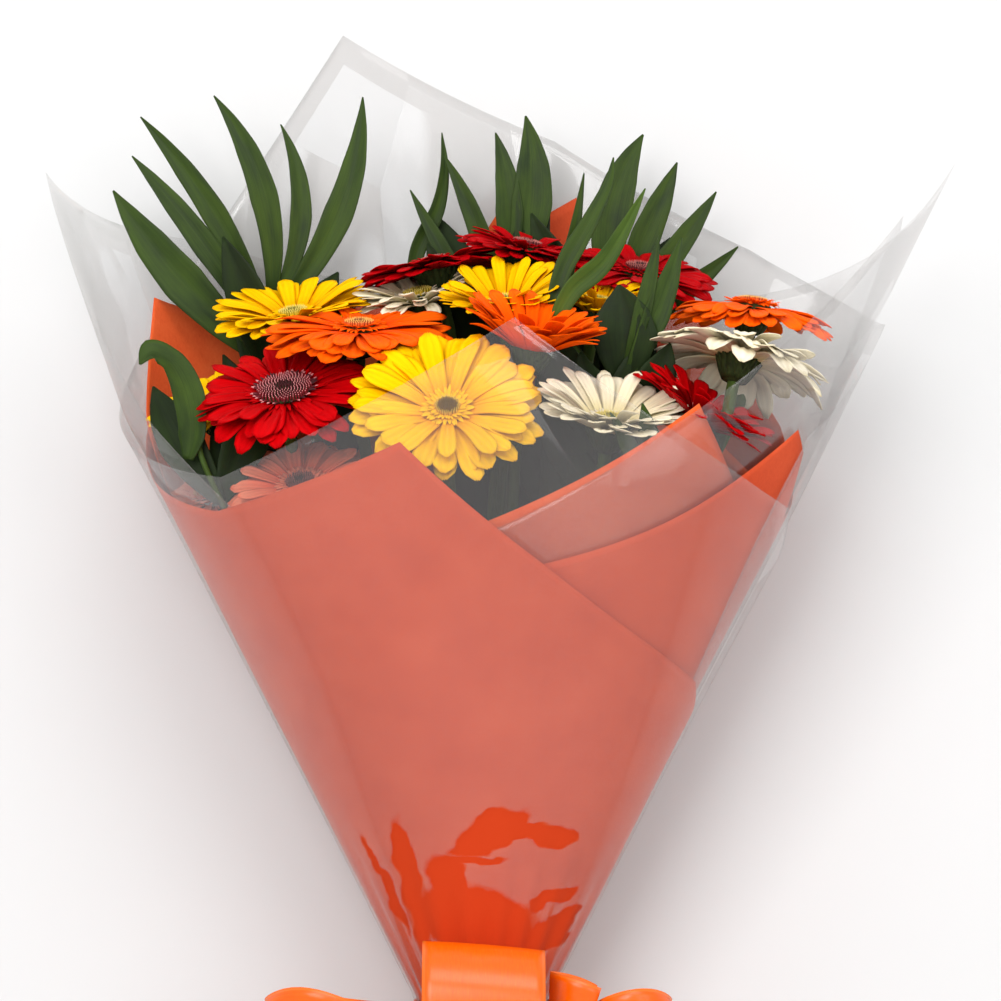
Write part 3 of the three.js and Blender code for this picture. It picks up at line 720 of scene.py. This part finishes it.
# blades that leave the stalk to one side before they rise: path, width, twist, colour slot
CURVED_BLADES = {
    "palm_frond_middle": [
        (
            [
                (8, 316, -92), (-14, 317, -92), (-31, 331, -92), (-31, 349, -92), (-21, 371, -92),
                (-18, 389, -91), (-19, 406, -92),
            ],
            8, -40, 0,
        ),
    ],
    "palm_frond_front": [
        ([(62, 282, 15.5), (44, 298, 14), (33, 318, 12), (36, 336, 10), (49, 360, 8), (57, 377, 6), (59, 388, 4)],
         9, 20, 0),
        ([(62, 282, 15.5), (46, 296, 16), (34, 312, 16), (40, 327, 17), (54, 340, 18), (64, 356, 19), (73, 373, 20)],
         10, -20, 1),
        ([(62, 282, 15.5), (46, 297, 12), (34, 318, 9), (37, 335, 7), (41, 352, 5), (46, 381, 4)], 8, -35, 0),
    ],
}
CURVED_SHAPE = ([0, 0.25, 0.42, 0.6, 0.82, 0.92, 1], [0.25, 0.3, 0.75, 1, 0.6, 0.32, 0.03])
BLADE_SHAPE = ([0, 0.08, 0.25, 0.5, 0.72, 0.88, 1], [0.22, 0.4, 0.72, 1, 0.78, 0.4, 0.03])


def blade_along(leaf, spine, half, angle, slot):
    """A leaf blade on a spine (rows, 3), with half widths, twist in radians and a fold at its midrib."""
    rows, cols = len(spine), 9
    t = np.linspace(0, 1, rows)[:, None, None]
    s = np.linspace(-1, 1, cols)[None, :, None]
    half, angle = half[:, None, None], angle[:, None, None]
    along = np.gradient(spine, axis=0)
    along /= np.linalg.norm(along, axis=1, keepdims=True)
    side = np.stack([along[:, 1], -along[:, 0], 0 * along[:, 0]], -1)
    side /= np.linalg.norm(side, axis=1, keepdims=True)
    face = np.cross(side, along)[:, None]
    side = side[:, None]
    edge = side * np.cos(angle) + face * np.sin(angle)
    out = face * np.cos(angle) - side * np.sin(angle)
    fold = 0.24 * np.abs(s) + 0.04 * np.cos(s * 4 * np.pi)
    ripple = 0.05 * np.sin(t * 9 + rng.random() * 6) * s
    points = spine[:, None] + edge * half * s + out * half * (fold + ripple)
    marks = np.broadcast_to(np.concatenate(np.broadcast_arrays(s, t, rng.random()), -1), points.shape)
    leaf.sheets(points[None], 0.4, marks[None], slot)


def blade(leaf, base, tip, bow, width, twist, slot, rows=34):
    """A blade from base to tip, bowed sideways."""
    base, tip = np.array(base, float), np.array(tip, float)
    length = np.linalg.norm(tip - base)
    along = (tip - base) / length
    side = np.array([along[1], -along[0], 0])
    side /= np.linalg.norm(side)
    t = np.linspace(0, 1, rows)
    middle = (base + tip) / 2 + side * bow * 2
    spine = np.outer((1 - t) ** 2, base) + np.outer(2 * t * (1 - t), middle) + np.outer(t**2, tip)
    spine += np.outer(length * 0.05 * np.sin(np.pi * t), np.cross(side, along))
    blade_along(leaf, spine, width / 2 * np.interp(t, *BLADE_SHAPE), np.radians(twist) * (t - 0.3), slot)


def inner_leaflets(leaf, path, first, last, count, reach):
    """Leaflets in pairs low on a frond's stalk, deep among the stems, in the darkened leaf colour that paints the
    shade there.
    """
    for share in np.linspace(first, last, count):
        base = path[int(share * (len(path) - 1))]
        for way in (-1, 1):
            swing = rng.random(3) - 0.5
            tip = base + np.array([
                way * reach * (0.75 + 0.5 * swing[0]), 62 + 22 * swing[1], 26 * swing[2],
            ])
            limit = half_width(tip[1]) - 22
            tip[0] = np.clip(tip[0], -limit, limit)
            tip[2] = np.clip(tip[2], -back_depth(tip[1]) + 12, 14)
            blade(leaf, base, tip, 5 * way * swing[0], 21, 50 * swing[2], 3, rows=16)


# node: the reach of the inner leaflets and where on the stalk they start and end
INNER = {
    "palm_frond_left": (40, 0.55, 0.86, 7),
    "palm_frond_middle": (36, 0.55, 0.90, 9),
    "palm_frond_right": (38, 0.55, 0.90, 8),
    "palm_frond_front": (34, 0.45, 0.84, 8),
    "curled_leaf_left": (34, 0.50, 0.86, 6),
    "pointed_leaf_front": (34, 0.50, 0.80, 6),
}
CURL = [(-130, 252, 33), (-128, 266, 34), (-131, 284, 35), (-138, 296, 37), (-146, 299, 40), (-151, 294, 43)]


# ---------------------------------------------------------------- wrapping
def beyond_neck(y):
    return np.sign(y) * np.maximum(0, np.abs(y) - GATHER)


def soft_step(x):
    x = np.clip(x, 0, 1)
    return x * x * (3 - 2 * x)


def table_at(y):
    return -(NECK_HEIGHT + y * math.sin(TILT)) / math.cos(TILT)


def half_width(y):
    up = beyond_neck(y)
    above = NECK_RADIUS + WIDTH_SLOPE * np.minimum(up, RIM - GATHER) + WING_SLOPE * np.maximum(0, y - RIM)
    return np.where(up < 0, NECK_RADIUS - TAIL_SLOPE * up, above)


def front_depth(y):
    up = beyond_neck(y)
    return NECK_RADIUS + np.where(up < 0, -TAIL_SLOPE * 0.5, FRONT_SLOPE) * up


def lying(y):
    end = np.where(y < 0, -TAIL, REST_START)
    return np.minimum(1, beyond_neck(y) / beyond_neck(end))


def back_depth(y):
    end = np.where(y < 0, -TAIL, REST_START)
    share = lying(y)
    return np.where(share >= 1, -table_at(y), NECK_RADIUS + (-table_at(end) - NECK_RADIUS) * share)


def wrap_points(turn, y, inset):
    """The wrapping at an angle round the stems in degrees (0 right, 90 front)."""
    a = np.radians(turn)
    across, out = np.cos(a), np.sin(a)
    flat = np.minimum(1, 1.25 * np.abs(out) ** 0.8)
    lower = (1 - lying(y)) * np.abs(out) + lying(y) * flat
    z = np.where(out >= 0, (front_depth(y) - inset) * out, -(back_depth(y) - inset) * lower)
    x = (half_width(y) - inset) * across + LEAN * np.maximum(0, y - RIM)
    return np.stack([x, y + 0 * across, z], -1)


for node, (stalk, blades) in LEAVES.items():
    leaf = Builder()
    path = smooth_path(stalk, 40)
    leaf.tube(path, np.linspace(1.9, 1.2, 40), 10, slot=2)
    if node == "curled_leaf_left":
        spine = smooth_path(CURL, 40)
        share = np.linspace(0, 1, 40)
        half = np.interp(share, [0, 0.15, 0.4, 0.7, 0.85, 1], [2.5, 6, 7, 5.2, 6.5, 0.6])
        blade_along(leaf, spine, half, 0.5 - 1.3 * share, 0)
    else:
        for item in blades:
            blade(leaf, *item)
    for points, width, twist, slot in CURVED_BLADES.get(node, []):
        share = np.linspace(0, 1, 44)
        half = width / 2 * np.interp(share, *CURVED_SHAPE)
        blade_along(leaf, smooth_path(points, 44), half, np.radians(twist) * (share - 0.3), slot)
    reach, first, last, count = INNER[node]
    inner_leaflets(leaf, path, first, last, count, reach)
    piece = leaf.finish(node + "_leaf", [LEAF, LIGHT_LEAF, STALK, SHADED_LEAF])
    settle(piece, node)


UNROLL = 0.45


def edge_height(corners, turn):
    """Height of the sheet's cut edge: straight lines of the flat sheet between corners."""
    angles = [c[0] for c in corners]
    out = np.zeros_like(turn)
    for (a, ya), (b, yb) in zip(corners, corners[1:]):
        here = (turn <= a) & (turn >= b)
        whole = math.sin(math.radians((a - b) * UNROLL))
        from_a = np.sin(np.radians((a - turn) * UNROLL))
        to_b = np.sin(np.radians((turn - b) * UNROLL))
        height = ya * yb * whole / (ya * from_a + yb * to_b)
        out = np.where(here, height, out)
    out = np.where(turn > angles[0], corners[0][1], out)
    return np.where(turn < angles[-1], corners[-1][1], out)


SHEETS = {
    "film_outer": (0, 128, [
        (20, 262), (0, 313), (-54, 352), (-85, 404), (-111, 455), (-180, 265), (-221, 244), (-273, 312),
        (-345, 230), (-372, 196),
    ]),
    "paper_outer": (1, 118, [
        (78, 206), (24, 265), (16, 255), (4, 225), (-30, 268), (-69, 353), (-76, 330), (-81, 377),
        (-144, 300), (-180, 244), (-214, 229), (-257, 259), (-282, 206), (-340, 153), (-372, 130),
    ]),
    "film_inner": (2, 124, [
        (100, 210), (57, 267), (38, 307), (25, 359), (23, 352), (2, 385), (-90, 330), (-134, 356),
        (-179, 382), (-219, 229),
    ]),
    "paper_inner": (3, 112, [
        (92, 222), (53, 276), (40, 249), (20, 222), (-45, 262), (-89, 384), (-100, 320), (-151, 328),
        (-178, 236), (-212, 222),
    ]),
}


def sheet_points(name, columns=170, rows=84):
    layer, tail, corners = SHEETS[name]
    first, last = corners[0][0], corners[-1][0]
    turns = np.linspace(first, last, columns)
    for corner, _ in corners[1:-1]:
        turns[np.argmin(np.abs(turns - corner))] = corner
    turns = np.sort(turns)[::-1][:, None]
    top = edge_height(corners, turns)
    share = np.linspace(0, 1, rows)[None]
    y = -tail + (top + tail) * share
    depth = (layer + 2 * np.clip((turns + 45) / 30, 0, 1)) * (1.15 + 0.004 * np.maximum(0, y))
    a = np.radians(turns)
    # gathers at the neck, flutes in the tail and a slow swell, the same in every layer
    up = np.maximum(0, y) / 100
    gathers = 1.5 * np.exp(-((y / 55.0) ** 2)) * np.sin(a * 23 + 0.6 * np.sin(a * 5))
    flutes = np.clip(-y / TAIL, 0, 1) ** 1.4 * 5.0 * (np.sin(a * 7 + 0.8) + 0.5 * np.sin(a * 12 + 2.0))
    swell = np.clip(up, 0, 2.2) * (0.9 * np.sin(a * 3 + y / 70) + 0.7 * np.sin(a * 5 - y / 45 + 1))
    resting = np.clip(1 - np.abs(np.sin(a)) * 1.4, 0, 1) + (np.sin(a) > 0)
    resting = np.clip(resting, 0, 1)
    inset = depth - gathers * np.clip(resting + 0.3, 0, 1) - flutes * resting - swell * resting
    points = wrap_points(turns, y, inset)
    return points, turns, y


# where the film clings to the paper above the bow: middle, turn, half length, half width
CLING = [
    ((-31, 63), 103, 34, 5.5),
    ((-42, 62), 116, 26, 2.4),
    ((-2, 46), -18, 30, 19),
    ((-14, 64), 110, 16, 10),
    ((4, 88), 29, 22, 7.5),
    ((-2, 75), 3, 16, 2.6),
    ((16, 89), -8, 12, 4.5),
    ((31, 86), -4, 13, 6.8),
    ((31, 57), 26, 14, 3.6),
    ((33, 46), 30, 17, 5),
    ((24, 38), 10, 16, 7),
]
CLING_EDGE = 7.0
CLING_TOP = 115.0


def cling_mask(n, spot):
    """1 where the film clings to the paper, 0 elsewhere."""
    wander = n.add("TexNoise", {"Vector": spot, "Scale": 70.0, "Detail": 2.0}).outputs[1]
    wander = n.add("VectorMath", {0: wander, 1: (0.5, 0.5, 0.5)}, operation="SUBTRACT").outputs[0]
    wander = n.add("VectorMath", {0: wander, 3: 0.012}, operation="SCALE").outputs[0]
    loose = n.add("VectorMath", {0: spot, 1: wander}, operation="ADD").outputs[0]
    mask = None
    for (x, y), turn, long, wide in CLING:
        moved = n.add("VectorMath", {0: loose, 1: (x * MM, y * MM, 0)}, operation="SUBTRACT").outputs[0]
        turned = n.add("Mapping", {"Vector": moved, "Rotation": (0, 0, -math.radians(turn))}).outputs[0]
        scaled = n.add(
            "VectorMath", {0: turned, 1: (1 / (MM * long), 1 / (MM * wide), 0)}, operation="MULTIPLY"
        ).outputs[0]
        distance = n.add("VectorMath", {0: scaled}, operation="LENGTH").outputs["Value"]
        inside = n.math("MULTIPLY_ADD", distance, -CLING_EDGE, CLING_EDGE, clamp=True)
        mask = inside if mask is None else n.math("MAXIMUM", mask, inside)
    front = n.math("GREATER_THAN", n.parts(spot)[2], 0.0)
    return n.math("MULTIPLY", mask, front)


def paper_material(name, colour, shade, lit, clings=False):
    """Wrapping paper: fine fibres, a slow unevenness, and a deeper tone where the film clings."""
    n = Nodes(name)
    spot = n.attribute("spot")
    fibres = n.noise(n.stretch(spot, (1.0, 0.45, 1.0)), 950.0, 4.0, 0.65)
    cloud = n.noise(spot, 32.0, 5.0, 0.62)
    factor = n.math("ADD", n.math("MULTIPLY", fibres, 0.4), n.math("MULTIPLY", cloud, 0.6))
    base = n.ramp(factor, [(0.3, shade), (0.5, colour), (0.75, lit)])
    if clings:
        base = n.mix(n.math("MULTIPLY", cling_mask(n, spot), 0.9), base, (210, 60, 8))
    n.bump(fibres, 0.08, 0.0002)
    return n.surface(
        Base_Color=base, Roughness=n.math("MULTIPLY_ADD", fibres, 0.15, 0.75), Specular_IOR_Level=0.25
    )


PAPER_OUTER = paper_material("coral_paper", (214, 80, 40), (203, 70, 33), (223, 92, 52))
PAPER_AT_BOW = paper_material("coral_paper_at_bow", (214, 80, 40), (203, 70, 33), (223, 92, 52), True)
# the inner paper is coloured lighter than the outer, a painted light for the parts of it that lie in the leaves'
# shade
PAPER_INNER_LIGHTENED = paper_material("coral_paper_inner_lightened", (228, 92, 40), (214, 74, 28), (238, 110, 56))


FILM_TINT = (252, 251.6, 251.2)  # what one face of the film lets through


def film_material(name, clings):
    """Clear film: each side dims what is behind it a little, reflects the studio more at a slant,
    and carries a faint haze with creases and folds above the rim. A few panes above the rim are
    painted glints: they let all the light through and lose most of their haze."""
    n = Nodes(name)
    spot = n.attribute("spot")
    free = n.add("MapRange", {"Value": n.parts(spot)[1], 1: 0.24, 2: 0.32}).outputs[0]
    folded = n.stretch(spot, (1.0, 0.25, 1.0))
    panes = n.add("TexVoronoi", {"Vector": folded, "Scale": 17.0}, feature="F1")
    pane = n.parts(panes.outputs["Color"])[0]
    swirl = n.noise(folded, 14.0, 2.0, 0.5, 0.4)
    # each pane above the rim is tilted its own way, so that some of them catch a lamp
    tilt = n.add("VectorMath", {0: panes.outputs["Color"], 1: (0.5, 0.5, 0.5)}, operation="SUBTRACT")
    offset = n.add("VectorMath", {0: folded, 1: panes.outputs["Position"]}, operation="SUBTRACT")
    slope = n.add("VectorMath", {0: tilt, 1: offset}, operation="DOT_PRODUCT").outputs["Value"]
    relief = n.math("MULTIPLY_ADD", n.math("MULTIPLY", slope, free), 1.6, n.math("MULTIPLY", swirl, 0.0002))
    bump = n.add("Bump", {"Height": relief, "Strength": 0.9, "Distance": 1.0})
    facing = n.add("LayerWeight", {"Blend": 0.5, "Normal": bump}).outputs["Facing"]
    shine = n.math("MULTIPLY_ADD", n.math("POWER", facing, 4.0), 0.35, 0.04)
    # painted glints: a few panes above the rim, away from the top edge, turn fully clear and nearly haze-free, so
    # they read bright like panes that catch a lamp
    painted_glint = n.add("MapRange", {"Value": n.math("MULTIPLY", pane, swirl), 1: 0.39, 2: 0.41}).outputs[0]
    inside = n.math("GREATER_THAN", n.parts(n.attribute("petal"))[2], 0.14)
    painted_glint = n.math("MULTIPLY", n.math("MULTIPLY", painted_glint, inside), free)
    haze = n.math("MULTIPLY_ADD", free, -0.02, 0.05)
    haze = n.math("MULTIPLY_ADD", painted_glint, -0.028, haze)
    clear = n.add("BsdfTransparent", {"Color": n.mix(painted_glint, FILM_TINT, (255, 255, 255))})
    gloss = n.add("BsdfGlossy", {"Color": (1, 1, 1, 1), "Roughness": 0.12, "Normal": bump})
    milk = n.add("BsdfDiffuse", {"Color": n.ramp(swirl, [(0.3, (158, 152, 153)), (0.7, (184, 178, 179))])})
    if clings:
        loose = n.math("SUBTRACT", 1.0, cling_mask(n, spot))
        shine, haze = n.math("MULTIPLY", shine, loose), n.math("MULTIPLY", haze, loose)
    out = n.add("MixShader", {0: shine, 1: clear, 2: gloss})
    out = n.add("MixShader", {0: haze, 1: out, 2: milk})
    n.tree.nodes.remove(n.shader)
    n.feed(n.output.inputs["Surface"], out)
    return n.material


FILM = film_material("clear_film", False)
FILM_AT_BOW = film_material("clear_film_at_bow", True)

for name in SHEETS:
    points, turns, heights = sheet_points(name)
    sheet = Builder()
    # the marks hold the turn, the height and how far below the top edge a point is
    marks = np.stack(
        [np.broadcast_to(turns / 360, heights.shape), heights / 400, (heights[:, -1:] - heights) / 100], -1
    )
    film = name.startswith("film")
    # rows run up the sheet and columns round it, so that the outer side faces out
    sheet.sheets(points.transpose(1, 0, 2)[None], 0.12 if film else 0.25, marks.transpose(1, 0, 2)[None])
    middles = np.concatenate(sheet.points)[sheet.faces[0]].mean(axis=1)
    at_bow = (middles[:, 2] > 0) & (middles[:, 1] < CLING_TOP) & name.endswith("outer")
    sheet.slots = [at_bow.astype(int)]
    looks = {"film": [FILM, FILM_AT_BOW], "paper_outer": [PAPER_OUTER, PAPER_AT_BOW]}
    piece = sheet.finish(name + "_sheet", looks.get("film" if film else name, [PAPER_INNER_LIGHTENED]))
    settle(piece, name)


# ---------------------------------------------------------------- ribbon and twine
def satin_material():
    n = Nodes("orange_satin")
    across, along, which = n.parts(n.attribute("petal"))
    weave = n.add("CombineXYZ", {0: n.math("MULTIPLY", across, 60.0), 1: n.math("MULTIPLY", along, 8.0), 2: which})
    threads = n.noise(weave, 3.0, 2.0)
    selvage = n.math("GREATER_THAN", n.math("ABSOLUTE", across), 0.95)
    colour = n.ramp(threads, [(0.3, (238, 88, 0)), (0.7, (250, 104, 0))])
    colour = n.mix(n.math("MULTIPLY", selvage, 0.3), colour, (255, 140, 56))
    n.bump(threads, 0.12, 0.0003)
    return n.surface(
        Base_Color=colour, Roughness=n.math("MULTIPLY_ADD", threads, 0.1, 0.2),
        Specular_IOR_Level=0.45,
    )


SATIN = satin_material()

BOW = {
    "bow_centre_loop": (
        [(1, 8, 31.5), (1, 33, 41), (1, 38, 57), (1, 21, 73), (1, -8, 72), (1, -26, 52), (1, -20, 34)],
        True, (1, -0.08, 0), 54,
    ),
    "bow_loop_left": (
        [
            (-28, -14, 44), (-50, -13, 60), (-66, -8, 66), (-80, -4, 65), (-93, -11, 52), (-80, -10, 38),
            (-50, -13, 36),
        ],
        True, (0.12, 1, 0), 50,
    ),
    "bow_loop_right": (
        [(54, -14, 45), (60, -9, 58), (71, -5, 61), (82, -11, 50), (74, -9, 37), (60, -14, 36)],
        True, (-0.12, 1, 0), 50,
    ),
    "bow_loop_small": (
        [(30, 5, 44), (36, 4, 58), (46, 0, 60), (51, -2, 48), (46, -1, 38), (36, 3, 37)],
        True, (0, 1, 0), 42,
    ),
    "bow_tail_left": ([(-22, -29, 38), (-27, -56, 44), (-36, -92, 51), (-44, -130, 58)], False, (1, -0.22, 0), 38),
    "bow_tail_right": ([(22, -29, 38), (25, -56, 45), (33, -90, 50), (42, -124, 59)], False, (1, 0.2, 0), 38),
}


def closed_path(points, count):
    p = np.array(points, float)
    wide = np.concatenate([p[-3:], p, p[:3]])
    knots = np.concatenate([[0], np.cumsum(np.linalg.norm(np.diff(wide, axis=0), axis=1) ** 0.5)])
    dense = smooth_path(wide, 1200)
    dense_t = np.linspace(knots[0], knots[-1], 1200)
    t = np.linspace(knots[3], knots[3 + len(p)], count)
    return np.stack([np.interp(t, dense_t, dense[:, i]) for i in range(3)], -1)


def ribbon_points(path, across, width, cols=13):
    path = np.asarray(path, float)
    tangent = np.gradient(path, axis=0)
    tangent /= np.linalg.norm(tangent, axis=1, keepdims=True)
    normal = np.cross(tangent, np.array(across, float))
    normal /= np.linalg.norm(normal, axis=1, keepdims=True)
    edge = np.cross(normal, tangent)
    s = np.linspace(-1, 1, cols)[None, :, None]
    bow = -0.6 * (s**2)
    return path[:, None] + edge[:, None] * s * width / 2 + normal[:, None] * bow


for node, (points, closed, across, width) in BOW.items():
    path = closed_path(points, 90) if closed else smooth_path(points, 60)
    ribbon = Builder()
    grid = ribbon_points(path, across, width)
    rows, cols = grid.shape[:2]
    s = np.broadcast_to(np.linspace(-1, 1, cols)[None], (rows, cols))
    t = np.broadcast_to(np.linspace(0, 1, rows)[:, None], (rows, cols))
    marks = np.stack([s, t * len(points) / 4, np.full((rows, cols), rng.random())], -1)
    ribbon.sheets(grid[None], 0.4, marks[None])
    piece = ribbon.finish(node + "_satin", [SATIN])
    settle(piece, node)

band = Builder()
turn = np.linspace(0, 2 * np.pi, 97)
for k in range(1):
    t = turn
    rows = 9
    y = np.linspace(-9, 9, rows)
    r = NECK_RADIUS + 1.6 + 0.25 * np.cos(np.linspace(0, 6 * np.pi, rows))
    grid = np.stack([
        r[:, None] * np.cos(t)[None], np.broadcast_to(y[:, None], (rows, 97)), r[:, None] * np.sin(t)[None],
    ], -1)
    marks = np.stack([np.broadcast_to(np.linspace(-1, 1, rows)[:, None], (rows, 97)), np.broadcast_to(t[None], (rows, 97)), np.full((rows, 97), 0.3)], -1)
    band.sheets(grid.transpose(1, 0, 2)[None], 0.8, marks.transpose(1, 0, 2)[None])
piece = band.finish("ribbon_band_satin", [SATIN])
settle(piece, "ribbon_band")

TWINE = Nodes("jute_twine")
strand = TWINE.noise(TWINE.attribute("spot"), 700.0, 3.0)
TWINE.bump(strand, 0.6, 0.0004)
TWINE.surface(Base_Color=TWINE.ramp(strand, [(0.3, (120, 96, 60)), (0.7, (196, 172, 120))]), Roughness=TWINE.math("MULTIPLY_ADD", strand, 0.1, 0.85))
coil = Builder()
turns_count = 5
a = np.linspace(0, 2 * np.pi * turns_count, 300)
coil.tube(np.stack([21.1 * np.cos(a), -4.6 + 9.2 * a / a[-1], 21.1 * np.sin(a)], -1), 0.7, 8)
piece = coil.finish("binding_twine_coil", [TWINE.material])
settle(piece, "binding_twine")


# ---------------------------------------------------------------- floor
def floor():
    n = Nodes("pale_floor")
    grain = n.noise(n.add("TexCoord").outputs["Object"], 6.0, 2.0)
    n.surface(Base_Color=n.ramp(grain, [(0.0, (218, 218, 218)), (1.0, (222, 222, 222))]), Roughness=0.9)
    mesh = bpy.data.meshes.new("floor")
    mesh.from_pydata([(-6, -6, 0), (6, -6, 0), (6, 6, 0), (-6, 6, 0)], [], [(0, 1, 2, 3)])
    mesh.materials.append(n.material)
    obj = bpy.data.objects.new("floor", mesh)
    obj.location.z = -0.0005
    bpy.context.scene.collection.objects.link(obj)


floor()
